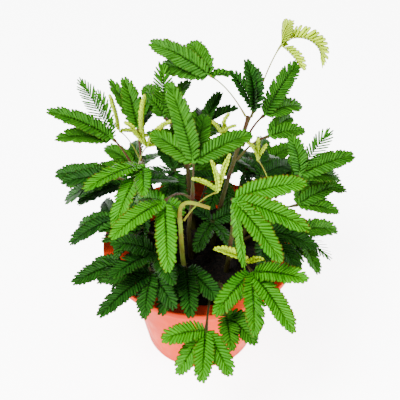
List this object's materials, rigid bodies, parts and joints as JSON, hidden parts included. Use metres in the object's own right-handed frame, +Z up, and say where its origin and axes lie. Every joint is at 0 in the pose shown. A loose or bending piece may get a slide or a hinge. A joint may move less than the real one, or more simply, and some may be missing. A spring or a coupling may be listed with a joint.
{
  "type": "potted sensitive plant",
  "caption": "Bushy sensitive plant with feathery compound leaves on slender prickly stems, standing in the soil of a flared terracotta-coloured pot that rests on its flat base.",
  "frame": {"origin": "centre of the pot's flat underside, where it stands", "axes": "+Z up along the pot's axis, -Y towards the plant's front, +X to its right seen from the front"},
  "size_m": [0.2566, 0.2834, 0.3364],
  "materials": {
    "terracotta": "satin moulded, terracotta coloured",
    "potting_soil": "crumbly, nearly black and moist",
    "green_stem": "olive green turning brown, with fine prickles",
    "green_leaf": "soft sheen, fresh leaf with brown-edged leaflets",
    "young_leaf": "soft sheen, yellow-green young leaf"
  },
  "bodies": {
    "root": {"leaf_back_fan": "green_leaf", "leaf_back_high": "green_leaf", "leaf_back_left_top": "green_leaf", "leaf_back_low": "green_leaf", "leaf_back_low_left": "green_leaf", "leaf_back_right": "green_leaf", "leaf_back_side_left": "green_leaf", "leaf_back_side_right": "green_leaf", "leaf_back_small": "green_leaf", "leaf_behind_middle": "green_leaf", "leaf_behind_right": "green_leaf", "leaf_broad_left": "green_leaf", "leaf_broad_right": "green_leaf", "leaf_centre_tall": "green_leaf", "leaf_centre_young": "young_leaf", "leaf_far_left": "green_leaf", "leaf_front_right": "green_leaf", "leaf_front_young": "young_leaf", "leaf_high_left": "green_leaf", "leaf_high_low": "green_leaf", "leaf_high_right": "green_leaf", "leaf_high_upright": "green_leaf", "leaf_high_young": "young_leaf", "leaf_inner_back": "green_leaf", "leaf_inner_front": "green_leaf", "leaf_inner_left": "green_leaf", "leaf_inner_right": "green_leaf", "leaf_left_dark": "green_leaf", "leaf_left_front": "green_leaf", "leaf_left_inner": "green_leaf", "leaf_left_low": "green_leaf", "leaf_low_front": "green_leaf", "leaf_low_left": "green_leaf", "leaf_low_left_upper": "green_leaf", "leaf_right_back": "green_leaf", "leaf_right_inner": "green_leaf", "leaf_right_low": "green_leaf", "leaf_right_middle": "green_leaf", "leaf_right_top": "green_leaf", "leaf_rim_left": "green_leaf", "leaf_side_left": "green_leaf", "leaf_trailing": "green_leaf", "leaf_trailing_side": "green_leaf", "leaf_yellow_back": "young_leaf", "leaf_yellow_far": "young_leaf", "leaf_yellow_left": "young_leaf", "leaf_yellow_right": "young_leaf", "pot": "terracotta", "soil": "potting_soil", "stem_arching": "green_stem", "stem_back": "green_stem", "stem_back_left": "green_stem", "stem_back_right": "green_stem", "stem_front": "green_stem", "stem_left": "green_stem", "stem_low_left": "green_stem", "stem_middle": "green_stem", "stem_right": "green_stem", "stem_tall": "green_stem", "stem_trailing": "green_stem"}
  },
  "joints": []
}
